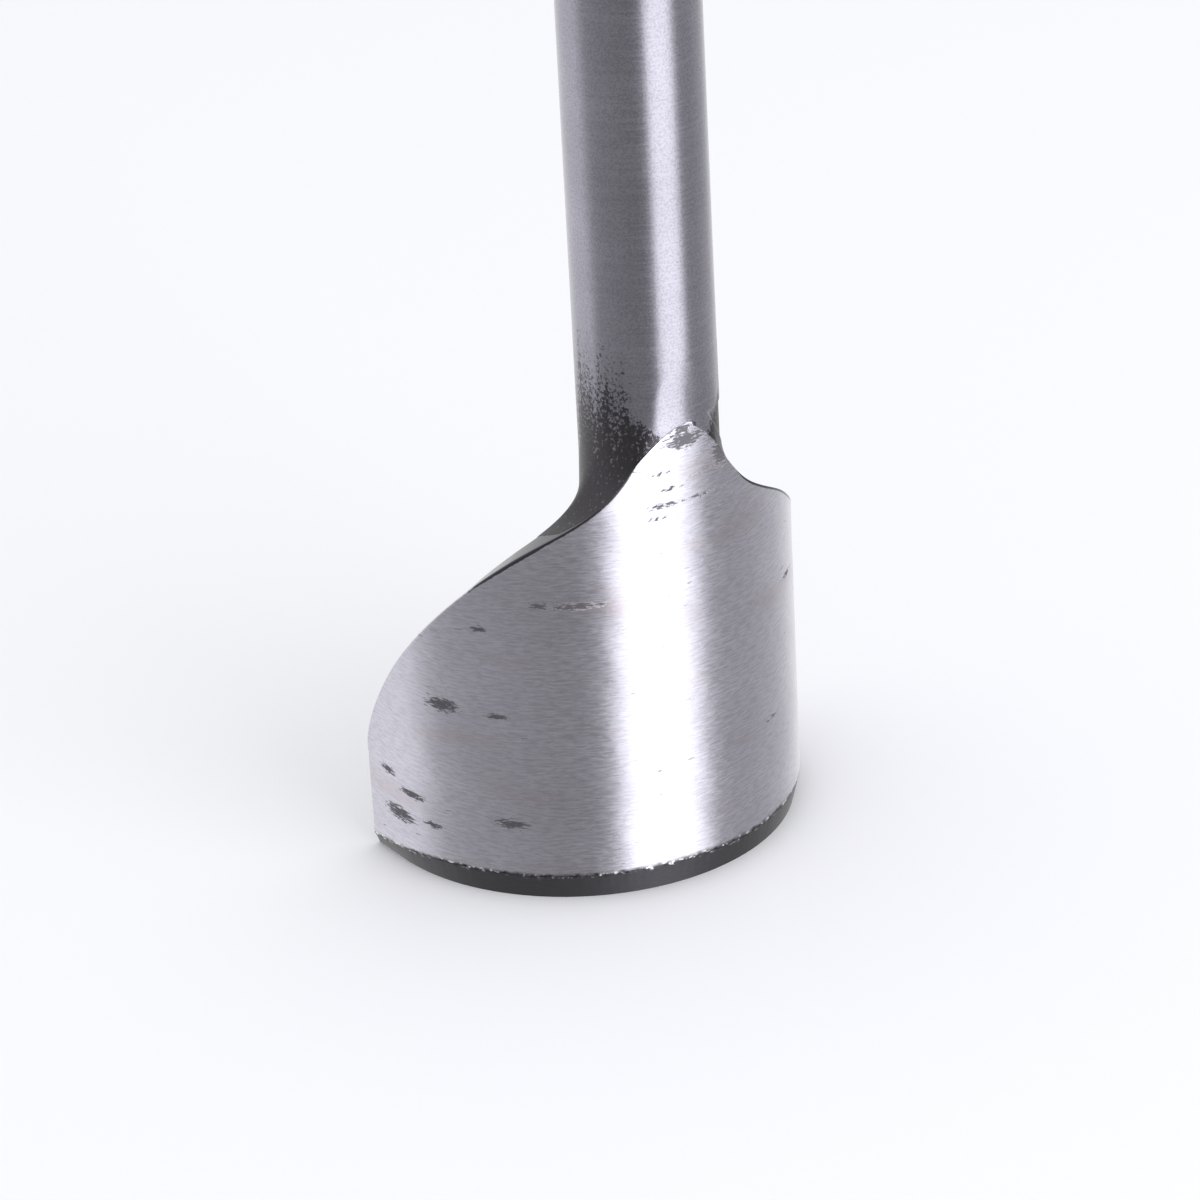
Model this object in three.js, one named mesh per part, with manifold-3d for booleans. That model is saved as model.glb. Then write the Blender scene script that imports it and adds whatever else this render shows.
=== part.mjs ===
// Strap end punch for leather: a half-round steel blade on a round steel shank, struck on its upper end.
// Millimetres, +Z up along the shank. The cutting edge lies on z = 0, the blade's crown faces -Y and its
// open side faces +Y. The origin is the middle of the footprint.
import * as THREE from "three";
import { mergeVertices } from "three/addons/utils/BufferGeometryUtils.js";
import Module from "manifold-3d";

// Driving dimensions
const OVERALL_LENGTH = 130; // cutting edge to struck face
const BLADE_RADIUS = 20; // ground outer face of the half-round blade
const LEG_LENGTH = 4; // straight run of each wing past the half circle
const WALL = 2.2; // blade thickness at the crown
const WING_TIP_WALL = 1.5; // blade thickness at the free ends
const SHANK_DIAMETER = 12.3; // its front line is flush with the blade's outer face
const STRUCK_CHAMFER = 1.2; // chamfer round the struck face
const GAP = 0.3; // clearance kept between neighbouring pieces

// Cutting edge: a short outside bevel and a longer inside relief leave a narrow land
const BEVEL_HEIGHT = 2.4;
const BEVEL_INSET = 0.6;
const EDGE_LAND = 0.2;
const RELIEF_HEIGHT = 7;

// Upper outline of the blade, heights against the distance round the wall from the crown
const CROWN_HEIGHT = 38; // at the crown, without the tongue
const SHOULDER_REACH = 13.5; // how far round the high shoulder is carried
const SHOULDER_RISE = 1; // and how far above the crown its handle stands
const CORNER_HEIGHT = 17.7; // pulls the outline down to the wing's upright end
const WING_END_HEIGHT = 9.6; // upright end of each wing
const TONGUE_RISE = 4; // the tongue laps up the front of the shank
const TONGUE_INSET = 1.15; // the tongue is this much narrower than the shank's half width

// Shank foot and weld metal
const SCARF_LOW = 16; // the shank's slanted foot meets the wall here
const SCARF_HIGH = 27; // and reaches the shank's back here
const NECK_BLEND = 6; // reach of the weld fillets at the neck
const WELD_TOP = 50;
const WELD_REACH = 14; // farthest that weld metal lies from the shank's axis
const ROOT_BEAD_RADIUS = 1.9;
const ROOT_BEAD_HALF_LENGTH = 4.6;

// Faceting
const SHANK_SIDES = 48;
const OUTLINE_STEPS = 26;
const WELD_SIDES = 72;
const WELD_LAYERS = 34;
const BEAD_SIDES = 10;
const BEAD_STEPS = 12;
const CLEAR = 5; // how far a cutter runs past what it cuts

// Worked out from the above
const SHANK_RADIUS = SHANK_DIAMETER / 2;
const AXIS_OFFSET = BLADE_RADIUS - SHANK_RADIUS; // blade's axis to shank's axis
const BLADE_AXIS_Y = (BLADE_RADIUS - LEG_LENGTH) / 2;
const SHANK_AXIS_Y = BLADE_AXIS_Y - AXIS_OFFSET;
const QUARTER_ARC = (Math.PI / 2) * BLADE_RADIUS;
const WING_REACH = QUARTER_ARC + LEG_LENGTH; // crown to free end, round the wall
const TONGUE_HALF_WIDTH = SHANK_RADIUS - TONGUE_INSET;

const wasm = await Module();
wasm.setup();

function solidOf(geometry) {
  const bare = geometry.clone();
  bare.deleteAttribute("normal");
  bare.deleteAttribute("uv");
  const merged = mergeVertices(bare, 1e-4);
  return new wasm.Manifold(
    new wasm.Mesh({
      numProp: 3,
      vertProperties: merged.attributes.position.array,
      triVerts: new Uint32Array(merged.index.array),
    }),
  );
}

function geometryOf(solid) {
  const mesh = solid.getMesh();
  const geometry = new THREE.BufferGeometry();
  geometry.setAttribute("position", new THREE.BufferAttribute(mesh.vertProperties, 3));
  geometry.setIndex(new THREE.BufferAttribute(mesh.triVerts, 1));
  return geometry;
}

function meshOf(name, geometry, material) {
  const mesh = new THREE.Mesh(geometry, material);
  mesh.name = name;
  return mesh;
}

// A closed body through equal rings of points, with a fan across each end.
function loft(rings) {
  const count = rings[0].length;
  const positions = [];
  for (const ring of rings) {
    for (const point of ring) positions.push(point.x, point.y, point.z);
  }
  const faces = [];
  for (let row = 0; row + 1 < rings.length; row++) {
    for (let column = 0; column < count; column++) {
      const here = row * count + column;
      const beside = row * count + ((column + 1) % count);
      faces.push(here, beside, beside + count);
      faces.push(here, beside + count, here + count);
    }
  }
  const last = (rings.length - 1) * count;
  for (let column = 1; column + 1 < count; column++) {
    faces.push(0, column + 1, column);
    faces.push(last, last + column, last + column + 1);
  }
  const geometry = new THREE.BufferGeometry();
  geometry.setAttribute("position", new THREE.Float32BufferAttribute(positions, 3));
  geometry.setIndex(faces);
  return geometry;
}

// A turned body whose profile is [radius, height] pairs, stood on an axis at y.
function turned(profile, y) {
  const points = profile.map(([radius, height]) => new THREE.Vector2(radius, height));
  const geometry = new THREE.LatheGeometry(points, SHANK_SIDES);
  geometry.rotateX(Math.PI / 2);
  geometry.translate(0, y, 0);
  return geometry;
}

// The point that lies `along` round the wall from the crown and `depth` inside its outer face.
function onBlade(along, depth, z) {
  const radius = BLADE_RADIUS - depth;
  const past = Math.max(0, Math.abs(along) - QUARTER_ARC);
  const angle = (Math.sign(along) * (Math.abs(along) - past)) / BLADE_RADIUS;
  return new THREE.Vector3(
    radius * Math.sin(angle),
    BLADE_AXIS_Y - radius * Math.cos(angle) + past,
    z,
  );
}

const outline = new THREE.CubicBezierCurve(
  new THREE.Vector2(0, CROWN_HEIGHT),
  new THREE.Vector2(SHOULDER_REACH, CROWN_HEIGHT + SHOULDER_RISE),
  new THREE.Vector2(WING_REACH, CORNER_HEIGHT),
  new THREE.Vector2(WING_REACH, WING_END_HEIGHT),
).getPoints(OUTLINE_STEPS);

// Height of the wall's upper edge: the wing's outline with the tongue's smooth rise added.
function topAt(along) {
  const reach = Math.min(Math.abs(along), WING_REACH);
  const next = Math.max(1, outline.findIndex((point) => point.x >= reach));
  const share = (reach - outline[next - 1].x) / (outline[next].x - outline[next - 1].x);
  const edge = THREE.MathUtils.lerp(outline[next - 1].y, outline[next].y, share);
  return edge + TONGUE_RISE * Math.exp(-((along / TONGUE_HALF_WIDTH) ** 2));
}

// The highest edge that stands in front of the shank, which the shank's lap has to clear.
const lapTop = Math.max(
  ...outline.filter((point) => point.x <= SHANK_RADIUS).map((point) => topAt(point.x)),
);

function wallAt(along) {
  const share = THREE.MathUtils.smoothstep(Math.abs(along), SHANK_DIAMETER, WING_REACH);
  return THREE.MathUtils.lerp(WALL, WING_TIP_WALL, share);
}

// The blade's wall: one upright section carried round the half circle and its legs. A clearance
// above zero makes the cutter that keeps neighbours off the wall.
function bladeWall(clearance) {
  const front = clearance > 0 ? -CLEAR : 0;
  const right = outline.map((point) => point.x);
  const left = right.slice(1).reverse();
  const stations = [...left.map((along) => -along), ...right];
  const rings = stations.map((along) => {
    const back = wallAt(along) + clearance;
    const top = topAt(along) + clearance;
    return [
      onBlade(along, BEVEL_INSET + EDGE_LAND + clearance, 0),
      onBlade(along, back, RELIEF_HEIGHT),
      onBlade(along, back, top),
      onBlade(along, front, top),
      onBlade(along, front, BEVEL_HEIGHT),
      onBlade(along, BEVEL_INSET + front, 0),
    ];
  });
  return loft(rings);
}

// The bar with its struck end, grown on all sides by a clearance.
function bar(clearance) {
  const radius = SHANK_RADIUS + clearance;
  return solidOf(
    turned(
      [
        [0, SCARF_LOW - CLEAR],
        [radius, SCARF_LOW - CLEAR],
        [radius, OVERALL_LENGTH - STRUCK_CHAMFER],
        [radius - STRUCK_CHAMFER, OVERALL_LENGTH],
        [0, OVERALL_LENGTH],
      ],
      SHANK_AXIS_Y,
    ),
  );
}

// The ring in which the blade laps in front of the shank, from below the shank to lapTop.
function lap(clearance) {
  const inner = BLADE_RADIUS - WALL - clearance;
  const outer = BLADE_RADIUS + CLEAR;
  const top = lapTop + clearance;
  return solidOf(
    turned(
      [
        [inner, -CLEAR],
        [outer, -CLEAR],
        [outer, top],
        [inner, top],
        [inner, -CLEAR],
      ],
      BLADE_AXIS_Y,
    ),
  );
}

// The wedge under the shank's slanted foot.
function underFoot(clearance) {
  const wallY = BLADE_AXIS_Y - BLADE_RADIUS + WALL;
  const backY = SHANK_AXIS_Y + SHANK_RADIUS;
  const slope = (SCARF_HIGH - SCARF_LOW) / (backY - wallY);
  const reach = WELD_REACH + CLEAR;
  const side = new THREE.Shape();
  side.moveTo(wallY - reach, SCARF_LOW - slope * reach + clearance);
  side.lineTo(backY + reach, SCARF_HIGH + slope * reach + clearance);
  side.lineTo(backY + reach, SCARF_LOW - slope * reach - CLEAR);
  side.lineTo(wallY - reach, SCARF_LOW - slope * reach - CLEAR);
  side.closePath();
  const geometry = new THREE.ExtrudeGeometry(side, { depth: 2 * reach, bevelEnabled: false });
  geometry.translate(0, 0, -reach);
  // the side view's (y, z) plane is stood upright, with its thickness along X
  geometry.applyMatrix4(new THREE.Matrix4().set(0, 0, 1, 0, 1, 0, 0, 0, 0, 1, 0, 0, 0, 0, 0, 1));
  return solidOf(geometry);
}

// Distance outside the wall, negative within it, for a point given by plan place and height.
function wallDistance(x, y, z) {
  const across = y - BLADE_AXIS_Y;
  const curved = across < 0;
  const along = curved
    ? BLADE_RADIUS * Math.atan2(x, -across)
    : Math.sign(x) * (QUARTER_ARC + across);
  const depth = BLADE_RADIUS - (curved ? Math.hypot(x, across) : Math.abs(x));
  const half = wallAt(along) / 2;
  const slope = (topAt(along + GAP) - topAt(along - GAP)) / (2 * GAP);
  const sideways = Math.abs(depth - half) - half;
  const above = (z - topAt(along)) / Math.hypot(1, slope);
  return (
    Math.hypot(Math.max(sideways, 0), Math.max(above, 0)) +
    Math.min(Math.max(sideways, above), 0)
  );
}

// Shank and wall run together with a fillet of NECK_BLEND, then ground to the blade's outer radius.
function fusedDistance(x, y, z) {
  const shank = Math.hypot(x, y - SHANK_AXIS_Y) - SHANK_RADIUS;
  const wall = wallDistance(x, y, z);
  const overlap = Math.max(NECK_BLEND - Math.abs(shank - wall), 0) / NECK_BLEND;
  const blended = Math.min(shank, wall) - (overlap * overlap * NECK_BLEND) / 4;
  return Math.max(blended, Math.hypot(x, y - BLADE_AXIS_Y) - BLADE_RADIUS);
}

// First way out of the fused neck from the shank's axis, in one direction at one height.
function wayOut(angle, z) {
  const at = (reach) =>
    fusedDistance(reach * Math.cos(angle), SHANK_AXIS_Y + reach * Math.sin(angle), z);
  let inside = 0;
  while (inside < WELD_REACH && at(inside + GAP) < 0) inside += GAP;
  let outside = inside + GAP;
  for (let halving = 0; halving < 12; halving++) {
    const middle = (inside + outside) / 2;
    if (at(middle) < 0) inside = middle;
    else outside = middle;
  }
  return inside;
}

// The neck as one body round the shank's axis, from below the foot to the top of the fillets.
function fusedNeck() {
  const bottom = SCARF_LOW - GAP;
  const rings = [];
  for (let layer = 0; layer <= WELD_LAYERS; layer++) {
    const z = THREE.MathUtils.lerp(bottom, WELD_TOP, layer / WELD_LAYERS);
    const ring = [];
    for (let side = 0; side < WELD_SIDES; side++) {
      const angle = (side / WELD_SIDES) * 2 * Math.PI;
      const reach = wayOut(angle, z);
      ring.push(
        new THREE.Vector3(reach * Math.cos(angle), SHANK_AXIS_Y + reach * Math.sin(angle), z),
      );
    }
    rings.push(ring);
  }
  return solidOf(loft(rings));
}

// A block that holds everything on one side of the middle plane.
function sideBlock(side) {
  const size = 2 * OVERALL_LENGTH;
  const block = new THREE.BoxGeometry(size, size, size);
  block.translate(side * (size / 2 + GAP / 2), 0, 0);
  return solidOf(block);
}

const steel = () =>
  new THREE.MeshStandardMaterial({ color: 0xb4b3ba, roughness: 0.28, metalness: 1 });
const groundSteel = () =>
  new THREE.MeshStandardMaterial({ color: 0xc2c2c8, roughness: 0.4, metalness: 1 });
const scaledSteel = () =>
  new THREE.MeshStandardMaterial({ color: 0x4b484c, roughness: 0.6, metalness: 0.8 });

function makeShank() {
  const body = bar(0).subtract(lap(GAP)).subtract(underFoot(0));
  return meshOf("shank", geometryOf(body), steel());
}

function makeBlade() {
  return meshOf("blade", bladeWall(0), groundSteel());
}

function makeNeckWeld(name, side, neck) {
  const shankRoom = bar(GAP).subtract(lap(0));
  const body = neck
    .intersect(sideBlock(side))
    .subtract(underFoot(0))
    .subtract(shankRoom)
    .subtract(solidOf(bladeWall(GAP)));
  return meshOf(name, geometryOf(body), scaledSteel());
}

function makeRootWeld() {
  const rings = [];
  for (let step = 0; step <= BEAD_STEPS; step++) {
    const along = THREE.MathUtils.lerp(-1, 1, step / BEAD_STEPS);
    const swell = ROOT_BEAD_RADIUS * Math.sqrt(1 - 0.8 * along * along);
    const ring = [];
    for (let side = 0; side < BEAD_SIDES; side++) {
      const turn = (side / BEAD_SIDES) * 2 * Math.PI;
      const depth = WALL + GAP + swell * Math.cos(turn);
      const z = SCARF_LOW + swell * Math.sin(turn);
      ring.push(onBlade(along * ROOT_BEAD_HALF_LENGTH, depth, z));
    }
    rings.push(ring);
  }
  const shankRoom = bar(GAP).subtract(lap(0)).subtract(underFoot(-GAP));
  const body = solidOf(loft(rings)).subtract(shankRoom).subtract(solidOf(bladeWall(GAP)));
  return meshOf("root_weld", geometryOf(body), scaledSteel());
}

const neck = fusedNeck();
const punch = new THREE.Group();
punch.name = "strap_end_punch";
const welds = new THREE.Group();
welds.add(makeNeckWeld("neck_weld_left", -1, neck));
welds.add(makeNeckWeld("neck_weld_right", 1, neck));
welds.add(makeRootWeld());
punch.add(makeShank());
punch.add(makeBlade());
punch.add(welds);

export default punch;
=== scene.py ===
"""Strap end punch: a half-round leather cutter on a round shank, rebuilt as fine surfaces round its frame."""

import math

import bpy
import numpy as np
from mathutils import Matrix, Vector


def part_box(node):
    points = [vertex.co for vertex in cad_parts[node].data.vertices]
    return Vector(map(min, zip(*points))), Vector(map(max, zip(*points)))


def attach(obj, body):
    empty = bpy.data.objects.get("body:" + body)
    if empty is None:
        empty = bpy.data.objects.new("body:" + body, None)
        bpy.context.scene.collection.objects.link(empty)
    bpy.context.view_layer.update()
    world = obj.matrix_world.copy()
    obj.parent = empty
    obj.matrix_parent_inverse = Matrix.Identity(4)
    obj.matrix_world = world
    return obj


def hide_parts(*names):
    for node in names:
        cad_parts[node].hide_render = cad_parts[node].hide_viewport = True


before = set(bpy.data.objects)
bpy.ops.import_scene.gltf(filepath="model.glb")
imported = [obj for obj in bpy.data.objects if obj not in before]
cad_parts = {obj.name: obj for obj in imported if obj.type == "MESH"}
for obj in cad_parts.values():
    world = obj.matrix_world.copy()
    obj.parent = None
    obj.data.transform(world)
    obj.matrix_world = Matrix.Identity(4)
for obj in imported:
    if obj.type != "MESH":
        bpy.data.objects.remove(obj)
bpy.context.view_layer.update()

bl_info = {
    "name": "Strap End Punch",
    "version": (1, 0, 0),
    "blender": (4, 5, 0),
    "location": "3D View > Sidebar > Punch",
    "description": "Builds a half-round strap end punch, its finishes and a plain studio",
    "category": "Add Mesh",
}

BODY = "root"
MM = 0.001
SIDES = {"left": -1.0, "right": 1.0}

blade_low, blade_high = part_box("blade")
shank_low, shank_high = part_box("shank")

# Places read from the frame
BLADE_RADIUS = (blade_high.x - blade_low.x) / 2
BLADE_DEPTH = blade_high.y - blade_low.y
BLADE_AXIS_Y = blade_low.y + BLADE_RADIUS
SHANK_RADIUS = (shank_high.x - shank_low.x) / 2
SHANK_AXIS_Y = blade_low.y + SHANK_RADIUS
SHANK_TOP = shank_high.z
LEG_LENGTH = BLADE_DEPTH - BLADE_RADIUS
QUARTER_ARC = math.pi / 2 * BLADE_RADIUS
WING_REACH = QUARTER_ARC + LEG_LENGTH

# Heights in the neck: where the tongue's tip ends, where its face starts to lean in, how far the
# fused skin runs, and where the bar slims to pass under that skin
TIP_HEIGHT = 43.9 * MM
TIP_SPREAD = 5 * MM
LEAN_FROM = 40.3 * MM
LEAN_OVER = 3.5 * MM
LEAN_DEPTH = 0.35 * MM
ROUNDED_FROM = 40 * MM
SKIN_LOW = 12.5 * MM
SKIN_HIGH = 50.5 * MM
SKIN_REACH = 16 * MM
SKIN_SINK = 0.10 * MM
BAR_SLIMS_FROM = 49.6 * MM
BAR_SLIM_AT = 47.5 * MM
BAR_SLIM = 0.35 * MM
RIGHT_BLEND_LOSS = 0.58

# Rows of the blade's section in each of its runs
LAND_ROWS = 2
BEVEL_ROWS = 9
FACE_ROWS = 96
OUTER_ROUND_ROWS = 5
TOP_ROWS = 9
INNER_ROUND_ROWS = 6
INNER_ROWS = 44
RELIEF_ROWS = 12
RIM_START = LAND_ROWS + BEVEL_ROWS + FACE_ROWS
RIM_END = RIM_START + OUTER_ROUND_ROWS + TOP_ROWS + INNER_ROUND_ROWS

# Bead under the foot
BEAD_RADIUS = 1.7 * MM
BEAD_REACH = 4.2 * MM


class PunchSizes(bpy.types.PropertyGroup):
    """Sizes of the blade, the neck and the shank's two ends."""

    wall: bpy.props.FloatProperty(
        name="Wall", description="Blade thickness at the crown", default=2.2 * MM, unit="LENGTH"
    )
    tip_wall: bpy.props.FloatProperty(
        name="Tip wall", description="Blade thickness at the free ends", default=1.4 * MM, unit="LENGTH"
    )
    neck_wall: bpy.props.FloatProperty(
        name="Neck thickening", description="Extra metal under the neck", default=1.5 * MM, unit="LENGTH"
    )
    crown: bpy.props.FloatProperty(
        name="Crown height", description="Plate height at the crown", default=37.5 * MM, unit="LENGTH"
    )
    shoulder_reach: bpy.props.FloatProperty(
        name="Shoulder reach", description="How far round the shoulder is held up",
        default=13.5 * MM, unit="LENGTH",
    )
    shoulder_rise: bpy.props.FloatProperty(
        name="Shoulder rise", description="Shoulder handle above the crown", default=1.0 * MM, unit="LENGTH"
    )
    corner: bpy.props.FloatProperty(
        name="Corner height", description="Pulls the outline down to the wing's end",
        default=17.7 * MM, unit="LENGTH",
    )
    wing_end: bpy.props.FloatProperty(
        name="Wing end", description="Height of the wing's upright end", default=9.6 * MM, unit="LENGTH"
    )
    tongue_rise: bpy.props.FloatProperty(
        name="Tongue rise", description="How far the tongue laps up the shank",
        default=4.0 * MM, unit="LENGTH",
    )
    tongue_width: bpy.props.FloatProperty(
        name="Tongue half width", description="Half width of the tongue", default=5.0 * MM, unit="LENGTH"
    )
    skew: bpy.props.FloatProperty(
        name="Shoulder skew", description="Hand grinding leaves the left shoulder this much higher",
        default=1.2 * MM, unit="LENGTH",
    )
    blend: bpy.props.FloatProperty(
        name="Neck blend", description="Reach of the fillets at the neck", default=6.0 * MM, unit="LENGTH"
    )
    bevel_height: bpy.props.FloatProperty(
        name="Bevel height", description="Height of the outside bevel", default=2.4 * MM, unit="LENGTH"
    )
    bevel_inset: bpy.props.FloatProperty(
        name="Bevel inset", description="How far the bevel goes in at the edge",
        default=0.6 * MM, unit="LENGTH",
    )
    edge_land: bpy.props.FloatProperty(
        name="Edge land", description="Width left at the cutting edge", default=0.12 * MM, unit="LENGTH"
    )
    relief: bpy.props.FloatProperty(
        name="Relief height", description="Height of the inside relief", default=7.0 * MM, unit="LENGTH"
    )
    scarf_low: bpy.props.FloatProperty(
        name="Foot low", description="Where the shank's slanted foot meets the wall",
        default=16.0 * MM, unit="LENGTH",
    )
    scarf_high: bpy.props.FloatProperty(
        name="Foot high", description="Where the slanted foot reaches the shank's back",
        default=27.0 * MM, unit="LENGTH",
    )
    chamfer: bpy.props.FloatProperty(
        name="Struck chamfer", description="Chamfer round the struck face", default=1.2 * MM, unit="LENGTH"
    )


class PunchFinish(bpy.types.PropertyGroup):
    """Colours of the finishes."""

    bar: bpy.props.FloatVectorProperty(
        name="Bar", description="Polished bar", subtype="COLOR", size=3, default=(0.39, 0.38, 0.44)
    )
    ground: bpy.props.FloatVectorProperty(
        name="Ground", description="Ground faces", subtype="COLOR", size=3, default=(0.61, 0.60, 0.68)
    )
    scale: bpy.props.FloatVectorProperty(
        name="Scale", description="Dark scale in the neck", subtype="COLOR", size=3,
        default=(0.035, 0.032, 0.035),
    )


def smooth(low, high, value):
    """Eased step from 0 at low to 1 at high."""
    share = np.clip((value - low) / (high - low), 0.0, 1.0)
    return share * share * (3.0 - 2.0 * share)


def waves(first, second, lengths, seed):
    """Sum of sines that cross at seeded angles and phases; each has one wavelength of `lengths`."""
    rng = np.random.default_rng(seed)
    total = 0.0
    for length in lengths:
        turn, phase = rng.uniform(0.0, math.tau, 2)
        total = total + np.sin(math.tau / length * (first * math.cos(turn) + second * math.sin(turn)) + phase)
    return total / len(lengths)


def blade_point(along, depth, z):
    """Place at `along` round the wall from the crown and `depth` inside the outer face: a half circle
    about the blade's axis, then straight legs."""
    past = np.maximum(np.abs(along) - QUARTER_ARC, 0.0)
    angle = np.sign(along) * (np.abs(along) - past) / BLADE_RADIUS
    radius = BLADE_RADIUS - depth
    x = radius * np.sin(angle)
    y = BLADE_AXIS_Y - radius * np.cos(angle) + past
    return np.stack(np.broadcast_arrays(x, y, z), axis=-1)


def edge_height(sizes, along):
    """Upper edge of the plate: a cubic curve from crown to wing end, plus a bell-shaped tongue,
    plus the small tilt that hand grinding leaves."""
    t = np.linspace(0.0, 1.0, 400)
    weights = [(1 - t) ** 3, 3 * (1 - t) ** 2 * t, 3 * (1 - t) * t**2, t**3]
    reaches = [0.0, sizes.shoulder_reach, WING_REACH, WING_REACH]
    heights = [sizes.crown, sizes.crown + sizes.shoulder_rise, sizes.corner, sizes.wing_end]
    curve_reach = sum(weight * reach for weight, reach in zip(weights, reaches))
    curve_height = sum(weight * height for weight, height in zip(weights, heights))
    outline = np.interp(np.abs(along), curve_reach, curve_height)
    tongue = sizes.tongue_rise * np.exp(-((along / sizes.tongue_width) ** 2))
    tilt = sizes.skew * np.tanh(along / SHANK_RADIUS) * smooth(WING_REACH, QUARTER_ARC / 2, np.abs(along))
    return outline + tongue - tilt


def wall_at(sizes, along, z):
    """Wall thickness: thins towards the free ends and thickens under the neck."""
    share = smooth(2 * SHANK_RADIUS, WING_REACH, np.abs(along))
    plain = sizes.wall + (sizes.tip_wall - sizes.wall) * share
    swell = np.exp(-((along / (2.3 * SHANK_RADIUS)) ** 2)) * smooth(18 * MM, 30 * MM, z)
    return plain + sizes.neck_wall * swell


def scarf_y(sizes, z):
    """Y of the shank's slanted foot at a height."""
    wall_y = BLADE_AXIS_Y - BLADE_RADIUS + sizes.wall
    back_y = SHANK_AXIS_Y + SHANK_RADIUS
    share = (z - sizes.scarf_low) / (sizes.scarf_high - sizes.scarf_low)
    return wall_y + (back_y - wall_y) * share


def shank_distance(sizes, x, y, z):
    """Distance outside the bar, which its slanted foot ends."""
    around = np.hypot(x, y - SHANK_AXIS_Y) - SHANK_RADIUS
    beyond = (y - scarf_y(sizes, z)) * math.sqrt(0.5)
    return np.maximum(around, beyond)


def wall_distance(sizes, x, y, z):
    """Distance outside the blade's wall, from the depth inside its outer face and the height above
    its edge."""
    across = y - BLADE_AXIS_Y
    curved = across < 0.0
    along = np.where(curved, BLADE_RADIUS * np.arctan2(x, -across), np.sign(x) * (QUARTER_ARC + across))
    depth = BLADE_RADIUS - np.where(curved, np.hypot(x, across), np.abs(x))
    half = wall_at(sizes, along, z) / 2
    step = 0.3 * MM
    slope = (edge_height(sizes, along + step) - edge_height(sizes, along - step)) / (2 * step)
    sideways = np.abs(depth - half) - half
    above = (z - edge_height(sizes, along)) / np.hypot(1.0, slope)
    outside = np.hypot(np.maximum(sideways, 0.0), np.maximum(above, 0.0))
    return outside + np.minimum(np.maximum(sideways, above), 0.0)


def fused(sizes, points):
    """Bar and wall run together by a quadratic smooth minimum whose reach is less on the right, then
    cut back to the ground outer face, with the corner between them eased round the tongue's tip.
    Returns the distance outside the fused metal and how much the fillet adds there."""
    x, y, z = points[..., 0], points[..., 1], points[..., 2]
    bar = shank_distance(sizes, x, y, z)
    wall = wall_distance(sizes, x, y, z)
    reach = sizes.blend * (1.0 - RIGHT_BLEND_LOSS * smooth(-1 * MM, 4 * MM, x))
    overlap = np.maximum(reach - np.abs(bar - wall), 0.0) / reach
    added = overlap**2 * reach / 4
    joined = np.minimum(bar, wall) - added
    ground = np.hypot(x, y - BLADE_AXIS_Y) - BLADE_RADIUS
    soft = (0.02 + 0.9 * smooth(ROUNDED_FROM, 44 * MM, z) * smooth(50 * MM, 45 * MM, z)) * MM
    rounding = np.maximum(soft - np.abs(joined - ground), 0.0) ** 2 / soft / 4
    return np.where(z > ROUNDED_FROM, np.maximum(joined, ground) + rounding, joined), added


def ridge_height(sizes, along):
    """Height at which the fused neck leaves the ground outer face, by halving, held under the
    parabola of the tongue's tip."""
    low = edge_height(sizes, along) - 0.2 * MM
    high = low + 16 * MM
    for _ in range(30):
        middle = (low + high) / 2
        inside = fused(sizes, blade_point(along, 0.03 * MM, middle))[0] < 0.01 * MM
        low = np.where(inside, middle, low)
        high = np.where(inside, high, middle)
    tip = TIP_HEIGHT - (along / TIP_SPREAD) ** 2 * MM
    return np.maximum(np.minimum(low, tip), edge_height(sizes, along))


def grid_quads(rows, columns):
    """Quads between neighbouring rows of a grid whose columns close on themselves."""
    here = np.arange(rows * columns).reshape(rows, columns)
    beside = np.roll(here, -1, axis=1)
    corners = (here[:-1], beside[:-1], beside[1:], here[1:])
    return np.stack([corner.ravel() for corner in corners], axis=-1)


def closed_tube(name, grid, fields=None, uv=None, sharp=35.0):
    """Mesh object from a grid whose columns wrap round: the first and last rows are each closed by
    a fan to their mean point, and edges over `sharp` degrees stay crisp."""
    rows, columns = grid.shape[:2]
    points = np.concatenate([grid.reshape(-1, 3), grid[:1].mean(axis=1), grid[-1:].mean(axis=1)])
    quads = grid_quads(rows, columns)
    first = np.arange(columns)
    last = first + (rows - 1) * columns
    start = np.stack([np.full(columns, rows * columns), np.roll(first, -1), first], axis=-1)
    end = np.stack([np.full(columns, rows * columns + 1), last, np.roll(last, -1)], axis=-1)
    if signed_volume(points, quads, np.concatenate([start, end])) < 0.0:
        quads, start, end = quads[:, ::-1], start[:, ::-1], end[:, ::-1]
    mesh = bpy.data.meshes.new(name)
    mesh.from_pydata(points.tolist(), [], quads.tolist() + start.tolist() + end.tolist())
    for field, values in (fields or {}).items():
        padded = np.concatenate([values.ravel(), np.zeros(2)]).astype(np.float32)
        mesh.attributes.new(field, "FLOAT", "POINT").data.foreach_set("value", padded)
    if uv is not None:
        flat = np.concatenate([uv.reshape(-1, 2), np.zeros((2, 2))]).astype(np.float32)
        loops = np.empty(len(mesh.loops), dtype=np.int32)
        mesh.loops.foreach_get("vertex_index", loops)
        mesh.uv_layers.new(name="surface").data.foreach_set("uv", flat[loops].ravel())
    mesh.shade_smooth()
    mesh.set_sharp_from_angle(angle=math.radians(sharp))
    piece = bpy.data.objects.new(name, mesh)
    bpy.context.scene.collection.objects.link(piece)
    return piece


def signed_volume(points, quads, triangles):
    """Volume by the divergence theorem; negative when the faces point inwards."""
    faces = np.concatenate([quads[:, [0, 1, 2]], quads[:, [0, 2, 3]], triangles])
    a, b, c = points[faces[:, 0]], points[faces[:, 1]], points[faces[:, 2]]
    return np.einsum("ij,ij->i", a, np.cross(b, c)).sum() / 6


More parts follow.
